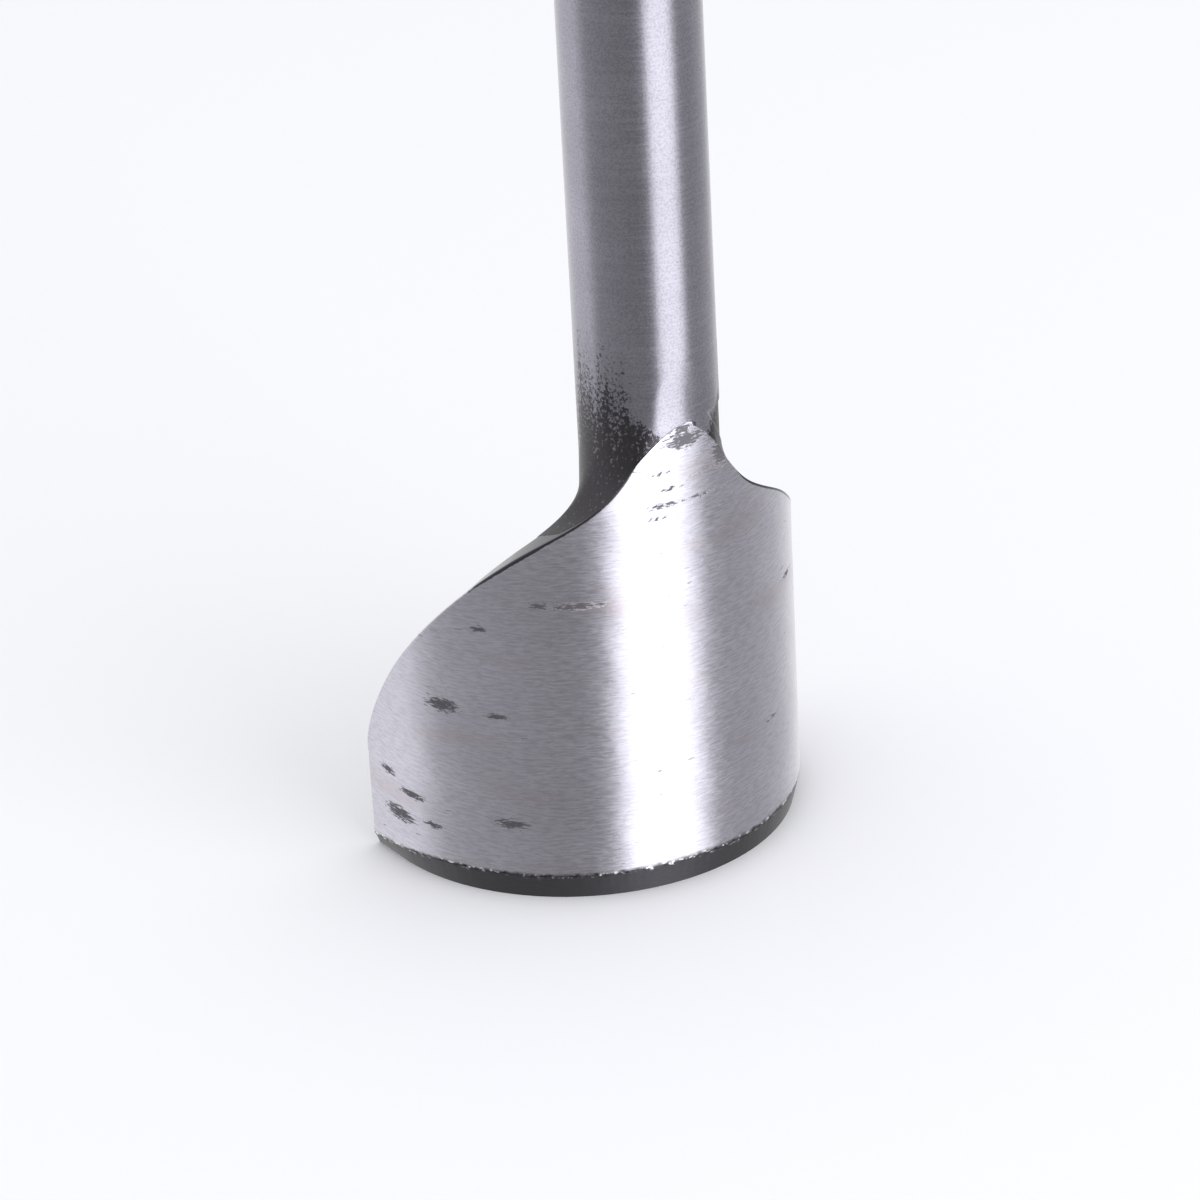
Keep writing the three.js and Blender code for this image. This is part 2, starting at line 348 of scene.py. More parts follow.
def run(start, end, steps):
    """Rows of a straight run in the section from one (depth, height) to another, without its end."""
    share = np.linspace(0.0, 1.0, steps, endpoint=False)[:, None]
    return [first + (last - first) * share for first, last in zip(start, end)]


def rounded_up(corner, radius, steps):
    """Rows of a quarter round from the outer face up to the upper edge."""
    turn = np.linspace(0.0, math.pi / 2, steps, endpoint=False)[:, None]
    return [corner[0] + radius * (1 - np.cos(turn)), corner[1] - radius * (1 - np.sin(turn))]


def rounded_down(corner, radius, steps):
    """Rows of a quarter round from the upper edge over to the inner face."""
    turn = np.linspace(0.0, math.pi / 2, steps, endpoint=False)[:, None]
    return [corner[0] - radius * (1 - np.sin(turn)), corner[1] - radius * (1 - np.cos(turn))]


LOW_SPOTS = (
    # along, height, half length, half height, all in millimetres
    (-0.3, 42.4, 2.6, 0.9), (-0.9, 43.5, 1.8, 0.3), (3.4, 40.2, 1.5, 1.7), (-3.1, 39.9, 1.3, 0.2),
    (-2.1, 38.3, 1.6, 0.22), (-2.9, 36.9, 2.0, 0.3), (0.9, 36.9, 2.4, 0.22), (-3.5, 35.8, 1.4, 0.2),
    (0.0, 38.9, 1.1, 0.2), (-11.0, 28.7, 3.4, 0.45), (-14.2, 28.8, 1.1, 0.5), (-19.8, 26.2, 1.0, 0.4),
    (-24.0, 18.1, 2.2, 0.9), (-18.6, 17.9, 1.4, 0.4), (-17.7, 7.4, 2.2, 0.6), (-28.5, 7.8, 2.0, 0.5),
    (-30.5, 5.2, 2.6, 0.9), (-32.0, 9.0, 1.4, 0.5), (-26.0, 5.6, 1.4, 0.4), (14.0, 24.0, 2.0, 0.3),
    (22.0, 9.0, 2.4, 0.6), (27.0, 17.0, 1.6, 0.5), (9.0, 12.0, 1.2, 0.3),
)


def low_spot_field(along, z):
    """How deep a point lies in the nearest unground low spot: 1 at its middle, 0 at its rim."""
    field = np.full(np.broadcast(along, z).shape, -1.0)
    for place, height, length, rise in LOW_SPOTS:
        reach = np.hypot((along / MM - place) / length, (z / MM - height) / rise)
        field = np.maximum(field, 1.0 - reach)
    return field


def blade_section(sizes, along):
    """Depth and height rows of the wall's section at every station, round the closed section:
    land, outside bevel, ground face, upper edge, inner face and relief."""
    none = np.zeros_like(along)
    ridge = ridge_height(sizes, along)
    edge = edge_height(sizes, along)
    bevel = sizes.bevel_height * (0.55 + 0.45 * smooth(WING_REACH, 0.75 * QUARTER_ARC, np.abs(along)))
    bevel = bevel + 0.09 * MM * waves(along, none, np.array([9.0, 4.1, 1.7, 0.8]) * MM, 3)
    inner_top = wall_at(sizes, along, edge)
    wall = wall_at(sizes, along, none + sizes.relief)
    eased = smooth(12 * MM, 16 * MM, np.abs(along))
    outer_round = (0.02 + 0.16 * eased) * MM
    inner_round = (0.02 + 0.30 * eased) * MM
    inner_edge = np.minimum(ridge, edge + 0.05 * MM)
    inset = none + sizes.bevel_inset
    foot = inset + sizes.edge_land
    pieces = [
        run((foot, none), (inset, none), LAND_ROWS),
        run((inset, none), (none, bevel), BEVEL_ROWS),
        run((none, bevel), (none, ridge - outer_round), FACE_ROWS),
        rounded_up((none, ridge), outer_round, OUTER_ROUND_ROWS),
        run((outer_round, ridge), (inner_top - inner_round, inner_edge), TOP_ROWS),
        rounded_down((inner_top, inner_edge), inner_round, INNER_ROUND_ROWS),
        inner_face_rows(sizes, along, inner_edge - inner_round, INNER_ROWS),
        run((wall, none + sizes.relief), (foot, none), RELIEF_ROWS),
    ]
    depth = np.concatenate([piece[0] * np.ones_like(along) for piece in pieces])
    height = np.concatenate([piece[1] * np.ones_like(along) for piece in pieces])
    return depth, height, bevel


def inner_face_rows(sizes, along, top, steps):
    """Rows down the inner face, whose depth follows the wall's thickness at each height."""
    share = np.linspace(0.0, 1.0, steps, endpoint=False)[:, None]
    height = top + (sizes.relief - top) * share
    return [wall_at(sizes, along, height), height]


def build_blade(sizes, finish):
    """The wall's section carried round the half circle and its legs, eased and closed at both free
    ends. The ground face has a faint ripple and leans in at the tongue's tip."""
    inner = np.linspace(-WING_REACH, WING_REACH, 470)[2:-2]
    easing = np.array([0.0, 0.02, 0.06, 0.12, 0.2]) * MM
    along = np.concatenate([easing - WING_REACH, inner, WING_REACH - easing[::-1]])
    depth, height, bevel = blade_section(sizes, along)
    middle = depth.mean(axis=0)
    from_end = WING_REACH - np.abs(along)
    spread = 0.72 + 0.28 * np.sqrt(1.0 - (1.0 - np.clip(from_end / (0.2 * MM), 0.0, 1.0)) ** 2)
    depth = middle + (depth - middle) * spread
    outer = (depth < 0.05 * MM) & (height > bevel)
    fade = smooth(0.0, 1.5 * MM, ridge_height(sizes, along) - height) * smooth(0.0, 1.0 * MM, height - bevel)
    ripple = waves(along, height, np.array([13.0, 8.0, 5.0, 3.4]) * MM, 11)
    depth = depth + np.where(outer, 0.012 * MM * (1 + ripple) * fade, 0.0)
    lean = np.maximum(height - LEAN_FROM, 0.0) ** 2 / LEAN_OVER**2 * LEAN_DEPTH
    depth = depth + np.where(outer, lean, 0.0)
    points = blade_point(along, depth, height)
    grid = points.transpose(1, 0, 2)
    on_bevel = (height < bevel * 1.02) & (depth < sizes.bevel_inset + 0.01 * MM)
    near = np.exp(-(((height - bevel) / (0.18 * MM)) ** 2)) * (depth < 0.3 * MM)
    rows = np.arange(len(height))[:, None] * np.ones_like(along)
    rim = (rows >= RIM_START) & (rows < RIM_END)
    grime = smooth(24 * MM, 15 * MM, np.abs(along)) * smooth(4 * MM, 7 * MM, np.abs(along))
    low = np.where(outer, low_spot_field(along * np.ones_like(height), height), -1.0)
    fields = {
        "bevel": on_bevel.astype(float).T, "burr": near.T, "low_spot": low.T, "grime": (rim * grime).T,
        "inside": ((depth > 0.4 * MM) & ~on_bevel & ~rim).astype(float).T,
    }
    uv = np.stack([along * np.ones_like(height), height], axis=-1).transpose(1, 0, 2)
    piece = closed_tube("ground_blade", grid, fields, uv, 28.0)
    piece.data.materials.append(blade_material(finish))
    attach(piece, BODY)
    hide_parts("blade")


def first_solid(sizes, origin, heading, z, reach):
    """Distance from a point in the open, along a level heading, to the first metal."""
    step = 0.25 * MM
    travelled = np.zeros(np.broadcast(heading, z).shape)
    found = np.zeros(travelled.shape, dtype=bool)

    def inside(distance):
        x = origin[0] + distance * np.cos(heading)
        y = origin[1] + distance * np.sin(heading)
        return fused(sizes, np.stack(np.broadcast_arrays(x, y, z), axis=-1))[0] < 0.0

    for _ in range(int(reach / step)):
        found |= inside(travelled + step)
        travelled = np.where(found, travelled, travelled + step)
    low, high = travelled, travelled + step
    for _ in range(14):
        middle = (low + high) / 2
        hit = inside(middle)
        low, high = np.where(hit, low, middle), np.where(hit, middle, high)
    return high, found


def neck_surface(sizes, side):
    """One side of the neck as seen from an eye in the open corner beside it: every level ring is the
    fused metal met by a fan of headings that turns from the ridge to the shank's back. The eye starts
    in the blade's hollow, moves beside the neck above the shoulder and to the front at the tongue's
    tip. Where the fillet adds nothing the skin sinks under the wall or the bar."""
    around = np.linspace(0.0, SKIN_REACH, 500)
    ridge = ridge_height(sizes, side * around)
    z = np.linspace(SKIN_LOW, SKIN_HIGH, 260)[:, None]
    start_along = np.interp(-z, -ridge, around)
    below = z < ridge[-1]
    tuck = 0.1 * MM * smooth(9 * MM, 13 * MM, start_along)
    start_depth = np.where(below, wall_at(sizes, side * start_along, z) - 0.15 * MM, 2.5 * tuck)
    start_along = np.where(z > ridge[0], -0.1 * MM, start_along)
    start = blade_point(side * start_along, start_depth, z)
    beside = smooth(36.5 * MM, 39 * MM, z)
    before = smooth(41 * MM, 43.8 * MM, z)
    eye_x = side * (10.5 + 2.5 * beside - 1.0 * before) * MM
    eye_y = BLADE_AXIS_Y + (-8.0 - 8.0 * beside - 9.0 * before) * MM
    back_y = np.minimum(SHANK_AXIS_Y + SHANK_RADIUS - 1.0 * MM, scarf_y(sizes, z) - 0.2 * MM)
    first = np.arctan2(start[..., 1] - eye_y, side * (start[..., 0] - eye_x))
    far_x = side * (3.7 * beside + 1.6 * before) * MM
    far_y = back_y + (-1.0 * MM - back_y) * beside - 2.3 * MM * before
    last = np.arctan2(far_y - eye_y, side * (far_x - eye_x))
    share = np.linspace(0.0, 1.0, 150)[None, :]
    turned = first - np.mod(first - last, math.tau) * share
    heading = np.where(side > 0, turned, math.pi - turned)
    distance, found = first_solid(sizes, (eye_x, eye_y), heading, z, 24 * MM)
    limit = np.hypot(start[..., 0] - eye_x, start[..., 1] - eye_y)
    distance = np.where(found, distance, limit)
    x, y = eye_x + distance * np.cos(heading), eye_y + distance * np.sin(heading)
    surface = np.stack(np.broadcast_arrays(x, y, z), axis=-1)
    added = fused(sizes, surface)[1]
    front = (surface[..., 1] < SHANK_AXIS_Y) & (z > 44 * MM)
    sink = np.where(front, 0.0, SKIN_SINK * (1.0 - smooth(0.0, 0.03 * MM, added)))
    sink = np.maximum(sink, 0.12 * MM * smooth(49.2 * MM, SKIN_HIGH, z))
    from_bar = np.hypot(x, y - SHANK_AXIS_Y)
    from_axis = np.hypot(x, y - BLADE_AXIS_Y)
    on_wall = wall_distance(sizes, x, y, z) < shank_distance(sizes, x, y, z)
    into_wall = (x / from_axis, (y - BLADE_AXIS_Y) / from_axis)
    into_bar = (-x / from_bar, (SHANK_AXIS_Y - y) / from_bar)
    surface[..., 0] += sink * np.where(on_wall, into_wall[0], into_bar[0])
    surface[..., 1] += sink * np.where(on_wall, into_wall[1], into_bar[1])
    surface[..., 2] -= np.where(on_wall, sink, 0.0)
    surface[:, 0] = np.where(z > ridge[0], surface[:, 0], start[:, 0])
    surface[:, 0, 2:] -= tuck
    over = np.hypot(surface[..., 0], surface[..., 1] - BLADE_AXIS_Y) / BLADE_RADIUS
    surface[..., 0] /= np.maximum(over, 1.0)
    surface[..., 1] = BLADE_AXIS_Y + (surface[..., 1] - BLADE_AXIS_Y) / np.maximum(over, 1.0)
    core = np.broadcast_to([side * 3.0 * MM, SHANK_AXIS_Y - 3.2 * MM, 0.0], (len(z), 1, 3)).copy()
    core[..., 1] -= 2.0 * MM * smooth(20 * MM, 17 * MM, z)
    core[..., 2] = z
    under = blade_point(side * start_along * 0.85, 1.0 * MM, z)
    return np.concatenate([surface, core, under], axis=1)


def build_neck(sizes, finish):
    """Both neck fillets."""
    for name, side in SIDES.items():
        piece = closed_tube("neck_fillet_" + name, neck_surface(sizes, side), sharp=40.0)
        piece.data.materials.append(scale_material(finish))
        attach(piece, BODY)
        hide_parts("neck_weld_" + name)


def shank_grid(sizes):
    """Rings of the bar from the middle of its slanted foot to the middle of its struck face: a
    circle about the bar's axis, hardly uneven, slimmer in front where the neck's skin covers it."""
    turn = np.linspace(0.0, math.tau, 256, endpoint=False)[None, :]
    foot_share = np.array([0.04, 0.35, 0.7, 0.94, 0.98, 1.0])[:, None]
    foot_radius = SHANK_RADIUS * foot_share
    wall_y = BLADE_AXIS_Y - BLADE_RADIUS + sizes.wall
    back_y = SHANK_AXIS_Y + SHANK_RADIUS
    rise = (sizes.scarf_high - sizes.scarf_low) / (back_y - wall_y)
    foot_y = SHANK_AXIS_Y + foot_radius * np.sin(turn)
    foot_z = sizes.scarf_low + (foot_y - wall_y) * rise
    lift = np.array([0.0, 0.0, 0.0, 0.0, 0.04, 0.16])[:, None] * MM
    body_share = np.linspace(0.0, 1.0, 200)[1:, None] ** 1.15
    body_top = SHANK_TOP - sizes.chamfer - 0.25 * MM
    body_z = foot_z[-1:] + lift[-1] + (body_top - foot_z[-1:]) * body_share
    soft = np.linspace(0.0, math.pi / 4, 5)[1:, None]
    bend = 0.6 * MM
    round_radius = SHANK_RADIUS - bend * (1 - np.cos(soft))
    round_z = body_top + bend * np.sin(soft)
    crown = crown_profile(sizes, round_radius[-1, 0], round_z[-1, 0])
    radius = np.concatenate([
        foot_radius * np.ones_like(turn), SHANK_RADIUS * np.ones_like(body_z),
        round_radius * np.ones_like(turn), crown[:, :1] * np.ones_like(turn),
    ])
    z = np.concatenate([
        foot_z + lift, body_z, round_z * np.ones_like(turn), crown[:, 1:] * np.ones_like(turn),
    ])
    wobble = waves(SHANK_RADIUS * turn, z, np.array([9.7, 6.3, 19.0]) * MM, 5)
    radius = radius * (1 - 0.0008 * (1 + wobble) * smooth(26 * MM, 40 * MM, z))
    front = smooth(-0.2, -0.7, np.sin(turn))
    radius = radius - BAR_SLIM * smooth(BAR_SLIMS_FROM, BAR_SLIM_AT, z) * front
    return np.stack([radius * np.cos(turn), SHANK_AXIS_Y + radius * np.sin(turn), z], axis=-1)


def crown_profile(sizes, radius, z):
    """(radius, height) rows of the chamfer, its soft inner corner and the slightly crowned face."""
    face = SHANK_RADIUS - sizes.chamfer - 0.1 * MM
    straight = np.linspace(0.0, 1.0, 6)[1:, None]
    end = np.array([[face + 0.15 * MM, SHANK_TOP - 0.16 * MM]])
    slope = np.array([[radius, z]]) + (end - np.array([[radius, z]])) * straight
    inner = np.linspace(1.0, 0.03, 26)[:, None]
    flat = np.concatenate([face * inner, SHANK_TOP - 0.07 * MM * inner**2], axis=1)
    return np.concatenate([slope, flat])


def build_shank(sizes, finish):
    """The round bar with its slanted foot and struck end."""
    piece = closed_tube("round_shank", shank_grid(sizes), sharp=30.0)
    piece.data.materials.append(bar_material(finish))
    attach(piece, BODY)
    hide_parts("shank")


def build_root(sizes, finish):
    """The bead under the foot: an oval section carried along the inner wall, swelling in ripples."""
    share = np.linspace(-1.0, 1.0, 140)[:, None]
    turn = np.linspace(0.0, math.tau, 40, endpoint=False)[None, :]
    swell = BEAD_RADIUS * np.sqrt(np.maximum(1.0 - share**4, 0.01))
    swell = swell * (1.0 + 0.05 * np.sin(share * 34.0) + 0.03 * np.sin(share * 13.0 + 1.0))
    lean = 0.25 * MM * np.sin(share * 7.0)
    depth = sizes.wall + 0.1 * MM + swell * 0.75 * np.cos(turn)
    z = sizes.scarf_low - 0.1 * MM + lean + swell * np.sin(turn)
    grid = blade_point(share * BEAD_REACH, depth, z)
    piece = closed_tube("root_bead", grid, sharp=60.0)
    piece.data.materials.append(scale_material(finish))
    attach(piece, BODY)
    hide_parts("root_weld")


class Nodes:
    """Short calls that add shader nodes to one node tree."""

    def __init__(self, tree):
        self.tree = tree

    def add(self, kind, **settings):
        """New node of a kind, with its settings."""
        node = self.tree.nodes.new(kind)
        for key, value in settings.items():
            setattr(node, key, value)
        return node

    def link(self, source, target):
        """Wire from an output to an input."""
        self.tree.links.new(source, target)

    def put(self, socket, value):
        """Wires an output to an input, or sets the input to a plain value."""
        if hasattr(value, "is_linked"):
            self.link(value, socket)
        else:
            socket.default_value = value

    def math(self, operation, first, second=0.0):
        """One arithmetic step on two values."""
        node = self.add("ShaderNodeMath", operation=operation)
        self.put(node.inputs[0], first)
        self.put(node.inputs[1], second)
        return node.outputs[0]

    def times(self, first, second):
        """Product of two values."""
        return self.math("MULTIPLY", first, second)

    def step(self, value, low, high, first=0.0, last=1.0):
        """Eased change from first to last while the value goes from low to high."""
        node = self.add("ShaderNodeMapRange", interpolation_type="SMOOTHSTEP")
        for socket, item in zip(node.inputs[:5], (value, low, high, first, last)):
            self.put(socket, item)
        return node.outputs[0]

    def mix(self, share, first, second):
        """Blend of two colours."""
        node = self.add("ShaderNodeMix", data_type="RGBA")
        self.put(node.inputs[0], share)
        self.put(node.inputs[6], first)
        self.put(node.inputs[7], second)
        return node.outputs[2]

    def blend(self, share, first, second):
        """Blend of two plain values."""
        node = self.add("ShaderNodeMix", data_type="FLOAT")
        self.put(node.inputs[0], share)
        self.put(node.inputs[2], first)
        self.put(node.inputs[3], second)
        return node.outputs[0]

    def scaled(self, vector, scale):
        """A place with each axis multiplied."""
        node = self.add("ShaderNodeMapping")
        self.link(vector, node.inputs["Vector"])
        node.inputs["Scale"].default_value = scale
        return node.outputs[0]

    def noise(self, vector, scale, detail=4.0, roughness=0.6, distortion=0.0):
        """Cloud of values from 0 to 1."""
        node = self.add("ShaderNodeTexNoise")
        self.link(vector, node.inputs["Vector"])
        node.inputs["Scale"].default_value = scale
        node.inputs["Detail"].default_value = detail
        node.inputs["Roughness"].default_value = roughness
        node.inputs["Distortion"].default_value = distortion
        return node.outputs["Fac"]

    def field(self, name):
        """Value stored on the mesh under a name."""
        return self.add("ShaderNodeAttribute", attribute_name=name).outputs["Fac"]

    def parts(self, vector):
        """The three axes of a vector."""
        node = self.add("ShaderNodeSeparateXYZ")
        self.link(vector, node.inputs[0])
        return node.outputs

    def bump(self, height, strength, distance):
        """Normal tilted by the slope of a height."""
        node = self.add("ShaderNodeBump")
        node.inputs["Strength"].default_value = strength
        node.inputs["Distance"].default_value = distance
        self.link(height, node.inputs["Height"])
        return node.outputs[0]


def colour(values, scale=1.0):
    """Four-part colour from a three-part one."""
    return tuple(value * scale for value in values) + (1.0,)


def steel(name):
    """New all-metal material, the calls that add its nodes, and its shader."""
    material = bpy.data.materials.new(name)
    material.use_nodes = True
    shader = material.node_tree.nodes["Principled BSDF"]
    shader.inputs["Metallic"].default_value = 1.0
    return material, Nodes(material.node_tree), shader


def blade_material(finish):
    """Ground steel: marks across the blade, brownish patches painted as a reflection, a bevel painted
    near black as a painted dark reflection, near-white specks on its ragged burr painted as glints
    among dark specks, grime on the rim beside the neck, and dark low spots."""
    material, nodes, shader = steel("ground_steel")
    flat = nodes.add("ShaderNodeUVMap", uv_map="surface").outputs[0]
    marks = nodes.noise(nodes.scaled(flat, (850.0, 5200.0, 1.0)), 1.0, 5.0, 0.66, 0.5)
    fine = nodes.noise(nodes.scaled(flat, (900.0, 16000.0, 1.0)), 1.0, 3.0, 0.6)
    cloud = nodes.noise(nodes.scaled(flat, (90.0, 160.0, 1.0)), 1.0, 4.0, 0.55)
    ragged = nodes.noise(nodes.scaled(flat, (1300.0, 5200.0, 1.0)), 1.0, 5.0, 0.7)
    spot = nodes.math("ADD", nodes.field("low_spot"), nodes.times(ragged, 3.2))
    spot = nodes.step(spot, 1.75, 2.1)
    spot = nodes.times(spot, nodes.step(nodes.field("low_spot"), -0.35, 0.05))
    dashes = nodes.noise(nodes.scaled(flat, (520.0, 2600.0, 1.0)), 1.0, 2.0, 0.5)
    dashes = nodes.step(dashes, 0.70, 0.76, 0.0, 0.55)
    dark = nodes.math("MAXIMUM", spot, dashes)
    bevel = nodes.field("bevel")
    burr_noise = nodes.noise(nodes.scaled(flat, (1500.0, 2600.0, 1.0)), 1.0, 4.0, 0.6)
    burr = nodes.field("burr")
    # Painted highlight: bright specks in the burr band stand in for glints on the ragged edge.
    bright = nodes.times(burr, nodes.step(burr_noise, 0.56, 0.62))
    deep = nodes.times(burr, nodes.step(burr_noise, 0.47, 0.40))
    tint = nodes.mix(cloud, colour(finish.ground, 0.82), colour(finish.ground, 1.12))
    tint = nodes.mix(nodes.step(marks, 0.35, 0.62), nodes.mix(0.5, tint, colour(finish.ground, 0.62)), tint)
    # Painted reflection: brownish patches that stand in for a brown surface mirrored in the ground steel.
    painted_brown_reflection = nodes.noise(nodes.scaled(flat, (70.0, 240.0, 1.0)), 1.0, 3.0, 0.5)
    painted_brown_reflection = nodes.step(painted_brown_reflection, 0.52, 0.72, 0.0, 0.45)
    tint = nodes.mix(painted_brown_reflection, tint, (0.50, 0.43, 0.46, 1.0))
    tint = nodes.mix(nodes.times(dark, 0.8), tint, colour(finish.scale, 2.2))
    # Painted reflection: the bevel is painted near black to stand in for a dark surface mirrored in its honed
    # face.
    tint = nodes.mix(nodes.times(bevel, 0.93), tint, (0.04, 0.04, 0.043, 1.0))
    grime = nodes.step(nodes.math("ADD", nodes.field("grime"), nodes.times(ragged, 0.7)), 0.62, 0.80)
    tint = nodes.mix(nodes.times(grime, 0.9), tint, colour(finish.scale, 1.2))
    tint = nodes.mix(nodes.times(deep, 0.9), tint, (0.015, 0.014, 0.015, 1.0))
    # Painted glints: near-white specks along the burr.
    tint = nodes.mix(bright, tint, (0.9, 0.9, 0.92, 1.0))
    inner = nodes.times(nodes.field("inside"), nodes.step(cloud, 0.3, 0.62, 0.35, 0.8))
    tint = nodes.mix(inner, tint, colour(finish.ground, 0.30))
    nodes.link(tint, shader.inputs["Base Color"])
    rough = nodes.blend(marks, 0.15, 0.31)
    rough = nodes.blend(dark, rough, 0.62)
    rough = nodes.blend(bevel, rough, 0.42)
    nodes.link(rough, shader.inputs["Roughness"])
    height = nodes.math("ADD", nodes.times(marks, 1.0), nodes.times(fine, 0.4))
    height = nodes.math("SUBTRACT", height, nodes.times(dark, 0.9))
    nodes.link(nodes.bump(height, 0.75, 0.012 * MM), shader.inputs["Normal"])
    return material


def steel_with_scale(finish, name, ring_strength):
    """Polished steel: fine rings and long scratches. Dark pitted scale covers the sides of the neck,
    thinning upwards in ragged streaks, and all of the fillets lower down."""
    material, nodes, shader = steel(name)
    place = nodes.add("ShaderNodeTexCoord").outputs["Object"]
    rings = nodes.noise(nodes.scaled(place, (160.0, 160.0, 5200.0)), 1.0, 4.0, 0.6)
    long = nodes.noise(nodes.scaled(place, (3800.0, 3800.0, 140.0)), 1.0, 3.0, 0.55)
    cloud = nodes.noise(place, 130.0, 4.0, 0.55)
    pits = nodes.noise(place, 3400.0, 4.0, 0.65)
    streak = nodes.noise(nodes.scaled(place, (900.0, 900.0, 60.0)), 1.0, 3.0, 0.6)
    parts = nodes.parts(place)
    level = nodes.math("ADD", parts["Z"], nodes.times(streak, -12 * MM))
    lower = nodes.step(parts["Z"], 46 * MM, 40 * MM)
    out = nodes.math("ADD", nodes.math("ABSOLUTE", parts["X"]), nodes.times(lower, 4 * MM))
    sideways = nodes.step(out, 3.6 * MM, 5.4 * MM)
    behind = nodes.step(parts["Y"], SHANK_AXIS_Y + 4.2 * MM, SHANK_AXIS_Y + 1.0 * MM, 0.15, 1.0)
    scale = nodes.times(nodes.times(sideways, behind), nodes.step(level, 51 * MM, 33 * MM))
    limit = nodes.math("SUBTRACT", 0.74, nodes.times(scale, 0.40))
    cover = nodes.step(nodes.math("SUBTRACT", pits, limit), -0.08, 0.08)
    haze = nodes.times(scale, 0.55)
    tint = nodes.mix(cloud, colour(finish.bar, 0.8), colour(finish.bar, 1.15))
    grain = nodes.noise(place, 5200.0, 3.0, 0.6)
    tint = nodes.mix(nodes.step(grain, 0.42, 0.52, 0.35, 0.0), tint, colour(finish.bar, 0.5))
    tint = nodes.mix(nodes.step(rings, 0.4, 0.6, 0.15, 0.0), tint, colour(finish.bar, 0.55))
    tint = nodes.mix(haze, tint, colour(finish.bar, 0.35))
    dark = nodes.mix(cloud, colour(finish.scale, 0.45), colour(finish.scale, 2.0))
    tint = nodes.mix(nodes.times(cover, 0.9), tint, dark)
    nodes.link(tint, shader.inputs["Base Color"])
    rough = nodes.blend(rings, 0.18, 0.32)
    rough = nodes.blend(scale, rough, 0.42)
    nodes.link(rough, shader.inputs["Roughness"])
    height = nodes.math("ADD", nodes.times(rings, ring_strength), nodes.times(long, 0.5))
    height = nodes.math("SUBTRACT", height, nodes.times(cover, 3.0))
    nodes.link(nodes.bump(height, 0.5, 0.008 * MM), shader.inputs["Normal"])
    return material


def bar_material(finish):
    """Polished bar."""
    return steel_with_scale(finish, "polished_bar", 0.4)


def scale_material(finish):
    """Dark pitted scale of the unground fillets."""
    return steel_with_scale(finish, "dark_scale", 0.3)


# Studio: the camera, the ring of panels that steel reflects, the even light and the key light
CAMERA_HEADING = math.radians(-33.0)
CAMERA_TILT = math.radians(25.8)
CAMERA_ROLL = math.radians(-3.08)
CAMERA_DISTANCE = 458.4 * MM
CAMERA_LENS = 150.0
AIM_SIDEWAYS = 1.6 * MM
AIM_UP = 17.7 * MM
REFLECTED = (
    # degrees right of the camera's own bearing, brightness of what polished steel reflects there
    (0.0, 0.14), (16.5, 0.145), (25.5, 1.0), (60.0, 1.0), (73.0, 0.18), (100.0, 0.21), (130.0, 0.29),
    (155.0, 0.44), (180.0, 0.50), (225.0, 0.45), (263.0, 0.46), (282.0, 0.23), (305.0, 0.19), (340.0, 0.155),
)
REFLECTED_STRENGTH = 2.3
OPEN_LIGHT = 1.0
OVERHEAD = (0.3, 0.3, 0.31, 1.0)
KEY_DEGREES = 44.0
KEY_WATTS = 3.0
KEY_DISTANCE = 0.9
KEY_SIZE = 0.7
FLOOR_SIZE = 6.0
FLOOR_COLOUR = (0.9, 0.9, 0.92, 1.0)
EVEN_COLOUR = (0.975, 0.98, 1.0, 1.0)


def camera_axes():
    """Right, up and forward of the camera, from heading about Z, tilt below level and roll."""
    right = Vector((math.cos(CAMERA_HEADING), math.sin(CAMERA_HEADING), 0.0))
    level = Vector((-math.sin(CAMERA_HEADING), math.cos(CAMERA_HEADING), 0.0))
    forward = level * math.cos(CAMERA_TILT) - Vector((0.0, 0.0, math.sin(CAMERA_TILT)))
    up = level * math.sin(CAMERA_TILT) + Vector((0.0, 0.0, math.cos(CAMERA_TILT)))
    rolled_right = right * math.cos(CAMERA_ROLL) + up * math.sin(CAMERA_ROLL)
    rolled_up = up * math.cos(CAMERA_ROLL) - right * math.sin(CAMERA_ROLL)
    return rolled_right, rolled_up, forward


def place_by_axes(item, right, up, back, location):
    """Turns and places an object so that its local axes are right, up and back."""
    turn = Matrix((right, up, back)).transposed()
    item.matrix_world = Matrix.Translation(location) @ turn.to_4x4()


def add_camera():
    """The camera, aimed beside and above the middle of the blade's foot."""
    right, up, forward = camera_axes()
    aim = Vector((0.0, BLADE_AXIS_Y, 0.0)) + right * AIM_SIDEWAYS + up * AIM_UP
    data = bpy.data.cameras.new("camera")
    data.lens = CAMERA_LENS
    data.sensor_width = 36.0
    data.clip_start = 0.01
    camera = bpy.data.objects.new("camera", data)
    bpy.context.scene.collection.objects.link(camera)
    place_by_axes(camera, right, up, -forward, aim - forward * CAMERA_DISTANCE)
    bpy.context.scene.camera = camera


def add_key():
    """A square soft box up to the right of the camera, facing the object, for the floor's shade."""
    angle = CAMERA_HEADING - math.pi / 2 + math.radians(KEY_DEGREES)
    outward = Vector((math.cos(angle), math.sin(angle), 0.4)).normalized()
    data = bpy.data.lights.new("key", "AREA")
    data.size = KEY_SIZE
    data.energy = KEY_WATTS
    data.specular_factor = 0.0
    lamp = bpy.data.objects.new("key", data)
    bpy.context.scene.collection.objects.link(lamp)
    right = Vector((0.0, 0.0, 1.0)).cross(outward).normalized()
    place_by_axes(lamp, right, outward.cross(right), outward, outward * KEY_DISTANCE)


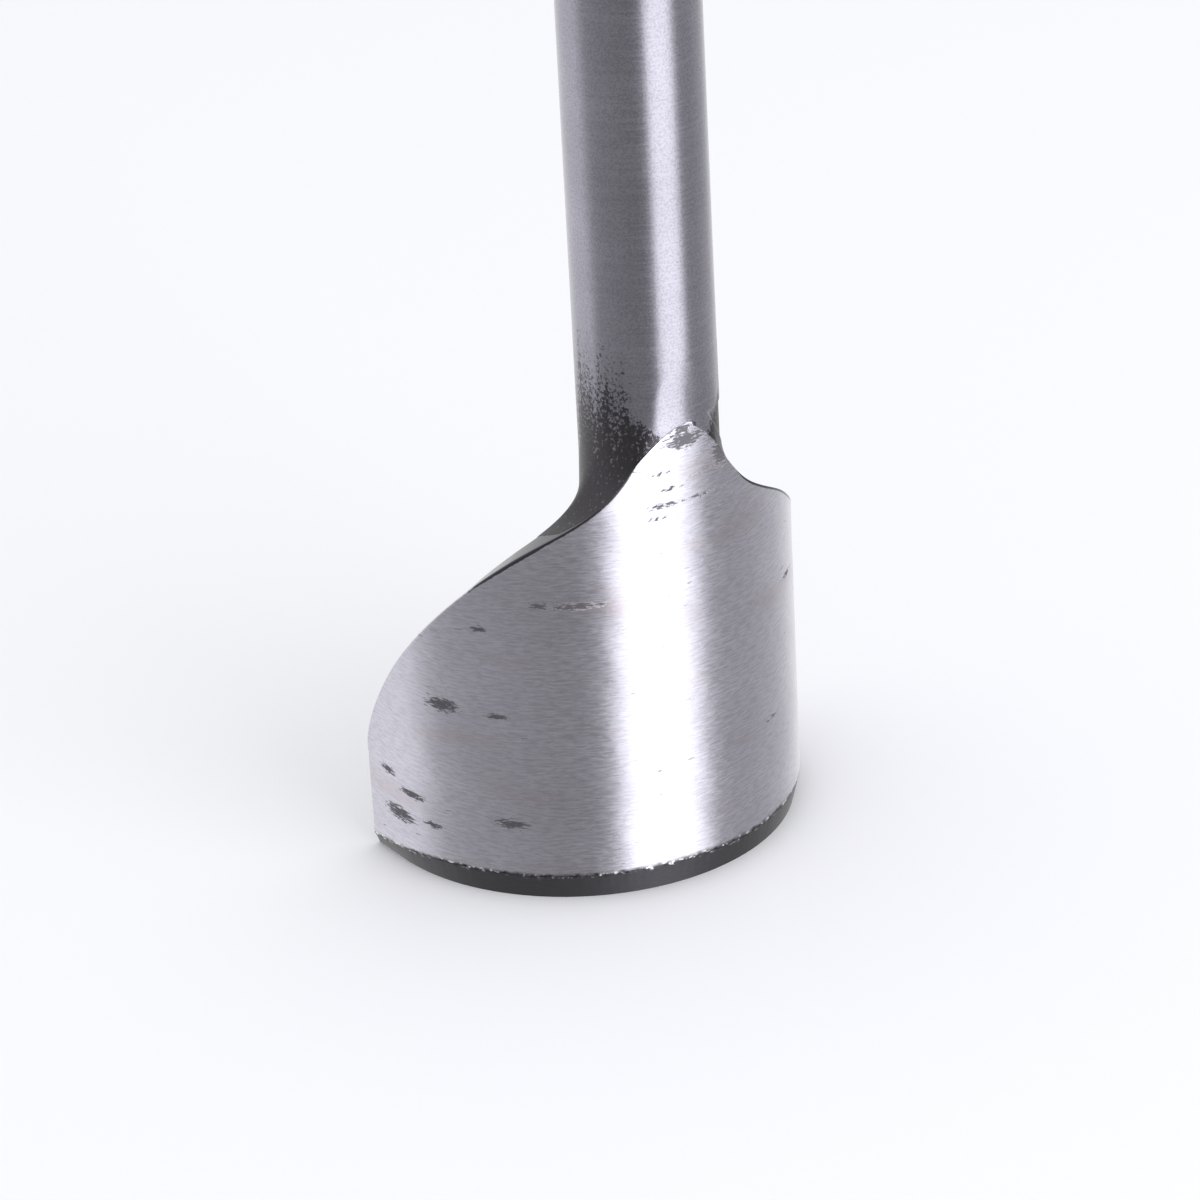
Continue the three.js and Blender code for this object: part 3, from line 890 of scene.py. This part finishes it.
def add_floor():
    """A pale matt floor, left out of reflections."""
    bpy.ops.mesh.primitive_plane_add(size=FLOOR_SIZE, location=(0.0, 0.0, 0.0))
    floor = bpy.context.object
    floor.name = "floor"
    material = bpy.data.materials.new("pale_floor")
    material.use_nodes = True
    shader = material.node_tree.nodes["Principled BSDF"]
    shader.inputs["Base Color"].default_value = FLOOR_COLOUR
    shader.inputs["Roughness"].default_value = 0.9
    shader.inputs["Specular IOR Level"].default_value = 0.0
    floor.data.materials.append(material)
    floor.visible_glossy = False
    floor.visible_shadow = False


def set_world():
    """Even pale light, and for reflections a ring of bright and dark panels round the horizon, read
    by bearing, that fades to one grey overhead."""
    world = bpy.data.worlds.new("studio")
    world.use_nodes = True
    nodes = Nodes(world.node_tree)
    even = world.node_tree.nodes["Background"]
    even.inputs["Color"].default_value = EVEN_COLOUR
    even.inputs["Strength"].default_value = OPEN_LIGHT
    direction = nodes.parts(nodes.add("ShaderNodeTexCoord").outputs["Generated"])
    bearing = nodes.math("ARCTAN2", direction["Y"], direction["X"])
    from_camera = nodes.math("SUBTRACT", bearing, CAMERA_HEADING - math.pi / 2)
    ramp = nodes.add("ShaderNodeValToRGB")
    nodes.link(nodes.math("FRACT", nodes.math("DIVIDE", from_camera, math.tau)), ramp.inputs[0])
    stops = ramp.color_ramp.elements
    stops[0].position = 0.0
    stops[1].position = 1.0
    stops[0].color = stops[1].color = (REFLECTED[0][1],) * 3 + (1.0,)
    for degrees, brightness in REFLECTED[1:]:
        stops.new(degrees / 360.0).color = (brightness,) * 3 + (1.0,)
    overhead = nodes.step(nodes.math("ABSOLUTE", direction["Z"]), 0.7, 0.95)
    panels = nodes.add("ShaderNodeBackground")
    nodes.link(nodes.mix(overhead, ramp.outputs[0], OVERHEAD), panels.inputs["Color"])
    panels.inputs["Strength"].default_value = REFLECTED_STRENGTH
    choice = nodes.add("ShaderNodeMixShader")
    nodes.link(nodes.add("ShaderNodeLightPath").outputs["Is Glossy Ray"], choice.inputs[0])
    nodes.link(even.outputs[0], choice.inputs[1])
    nodes.link(panels.outputs[0], choice.inputs[2])
    nodes.link(choice.outputs[0], world.node_tree.nodes["World Output"].inputs["Surface"])
    world.cycles.sampling_method = "NONE"
    bpy.context.scene.world = world
    bpy.context.scene.view_settings.view_transform = "Standard"


class PUNCH_OT_shank(bpy.types.Operator):
    """Build the round shank"""

    bl_idname = "punch.shank"
    bl_label = "Shank"

    def execute(self, context):
        build_shank(context.scene.punch_sizes, context.scene.punch_finish)
        return {"FINISHED"}


class PUNCH_OT_blade(bpy.types.Operator):
    """Build the half-round blade"""

    bl_idname = "punch.blade"
    bl_label = "Blade"

    def execute(self, context):
        build_blade(context.scene.punch_sizes, context.scene.punch_finish)
        return {"FINISHED"}


class PUNCH_OT_neck(bpy.types.Operator):
    """Build the two neck fillets"""

    bl_idname = "punch.neck"
    bl_label = "Neck fillets"

    def execute(self, context):
        build_neck(context.scene.punch_sizes, context.scene.punch_finish)
        return {"FINISHED"}


class PUNCH_OT_root(bpy.types.Operator):
    """Build the bead under the shank's foot"""

    bl_idname = "punch.root"
    bl_label = "Root bead"

    def execute(self, context):
        build_root(context.scene.punch_sizes, context.scene.punch_finish)
        return {"FINISHED"}


class PUNCH_OT_stage(bpy.types.Operator):
    """Add the camera, the floor, the world and the key light"""

    bl_idname = "punch.stage"
    bl_label = "Studio"

    def execute(self, context):
        add_camera()
        add_floor()
        set_world()
        add_key()
        return {"FINISHED"}


class PUNCH_PT_panel(bpy.types.Panel):
    """Lists the punch's sizes, finishes and pieces"""

    bl_idname = "PUNCH_PT_panel"
    bl_label = "Strap End Punch"
    bl_space_type = "VIEW_3D"
    bl_region_type = "UI"
    bl_category = "Punch"

    def draw(self, context):
        for group in (context.scene.punch_sizes, context.scene.punch_finish):
            for key in group.__annotations__:
                self.layout.prop(group, key)
        for operator in PIECES:
            self.layout.operator(operator.bl_idname)


PIECES = (PUNCH_OT_stage, PUNCH_OT_shank, PUNCH_OT_blade, PUNCH_OT_neck, PUNCH_OT_root)
CLASSES = (PunchSizes, PunchFinish) + PIECES + (PUNCH_PT_panel,)


def register():
    """Registers the classes and hangs the sizes and finishes on the scene."""
    for item in CLASSES:
        bpy.utils.register_class(item)
    bpy.types.Scene.punch_sizes = bpy.props.PointerProperty(type=PunchSizes)
    bpy.types.Scene.punch_finish = bpy.props.PointerProperty(type=PunchFinish)


def unregister():
    """Takes back what register did."""
    del bpy.types.Scene.punch_finish
    del bpy.types.Scene.punch_sizes
    for item in reversed(CLASSES):
        bpy.utils.unregister_class(item)


def plain(bounds):
    """Bounds as plain lists of numbers."""
    return [[float(value) for value in corner] for corner in bounds]


def main():
    """Builds the studio and every piece."""
    register()
    bpy.ops.punch.stage()
    bpy.ops.punch.shank()
    bpy.ops.punch.blade()
    bpy.ops.punch.neck()
    bpy.ops.punch.root()


if __name__ == "__main__":
    main()
